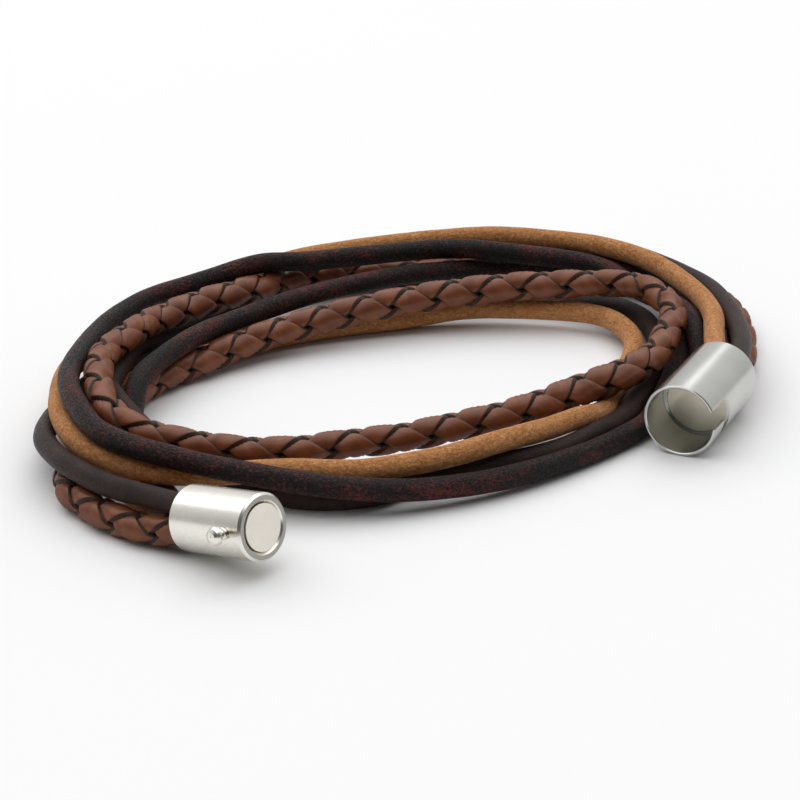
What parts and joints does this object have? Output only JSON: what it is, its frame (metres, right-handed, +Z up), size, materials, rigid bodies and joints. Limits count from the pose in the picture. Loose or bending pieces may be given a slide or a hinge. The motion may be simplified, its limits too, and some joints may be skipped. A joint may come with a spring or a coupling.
{
  "type": "leather wrap bracelet",
  "caption": "Leather wrap bracelet of braided and round cords laid in turns, lying open, with a magnetic bayonet clasp: a plug with a side pin and a slotted socket.",
  "frame": {"origin": "on the surface that the bracelet lies on, below the middle of its overall box", "axes": "+Z up, with the coil lying flat; the two clasp halves are at the front, towards -Y, the plug on the left and the socket on the right, towards +X"},
  "size_m": [0.099, 0.1018, 0.0109],
  "materials": {
    "braided_leather": "waxed straps with near-black cut edges",
    "tan_leather": "matte, with a fine suede grain",
    "antique_leather": "rubbed near-black over red-brown, satin",
    "dark_leather": "satin, with fine wrinkles",
    "plug_metal": "polished nickel silver colour",
    "socket_metal": "fine matte",
    "magnet": "satin nickel plate"
  },
  "bodies": {
    "root": {"braided_strand": "braided_leather", "tan_strand": "tan_leather", "antique_strand": "antique_leather", "dark_strand": "dark_leather", "plug_sleeve": "plug_metal", "plug_magnet": "magnet", "bayonet_pin": "plug_metal", "socket_sleeve": "socket_metal", "socket_magnet": "magnet"}
  },
  "joints": []
}
